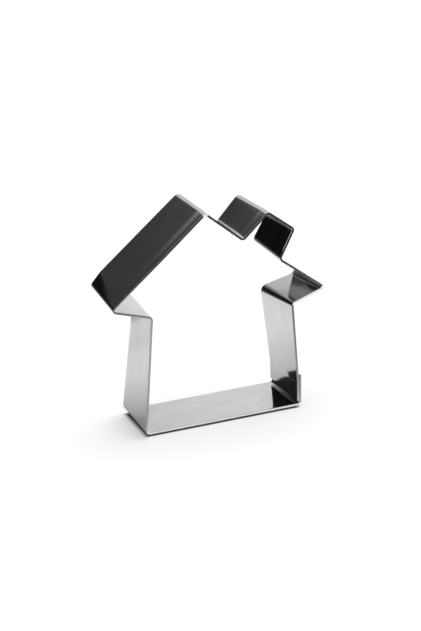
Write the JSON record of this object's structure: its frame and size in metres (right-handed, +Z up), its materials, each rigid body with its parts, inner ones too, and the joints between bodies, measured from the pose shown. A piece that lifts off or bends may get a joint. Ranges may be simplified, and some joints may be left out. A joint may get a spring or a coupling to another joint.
{
  "type": "cookie cutter",
  "caption": "House-shaped cookie cutter: a bent steel strip with pointed eaves, gable roof and chimney, lapped and spot welded at one foot.",
  "frame": {"origin": "middle of the part's extents in X and Y, at the underside of the floor panel", "axes": "+X across the house towards the chimney side, +Y through the strip's depth from the front edge to the back edge, +Z up towards the ridge"},
  "size_m": [0.072, 0.025, 0.072],
  "materials": {
    "polished_steel": "bright polished, mirror-like",
    "weld_steel": "dull, as fused"
  },
  "bodies": {
    "root": {"cutter_band": "polished_steel", "weld_nugget_front": "weld_steel", "weld_nugget_middle": "weld_steel", "weld_nugget_back": "weld_steel"}
  },
  "joints": []
}
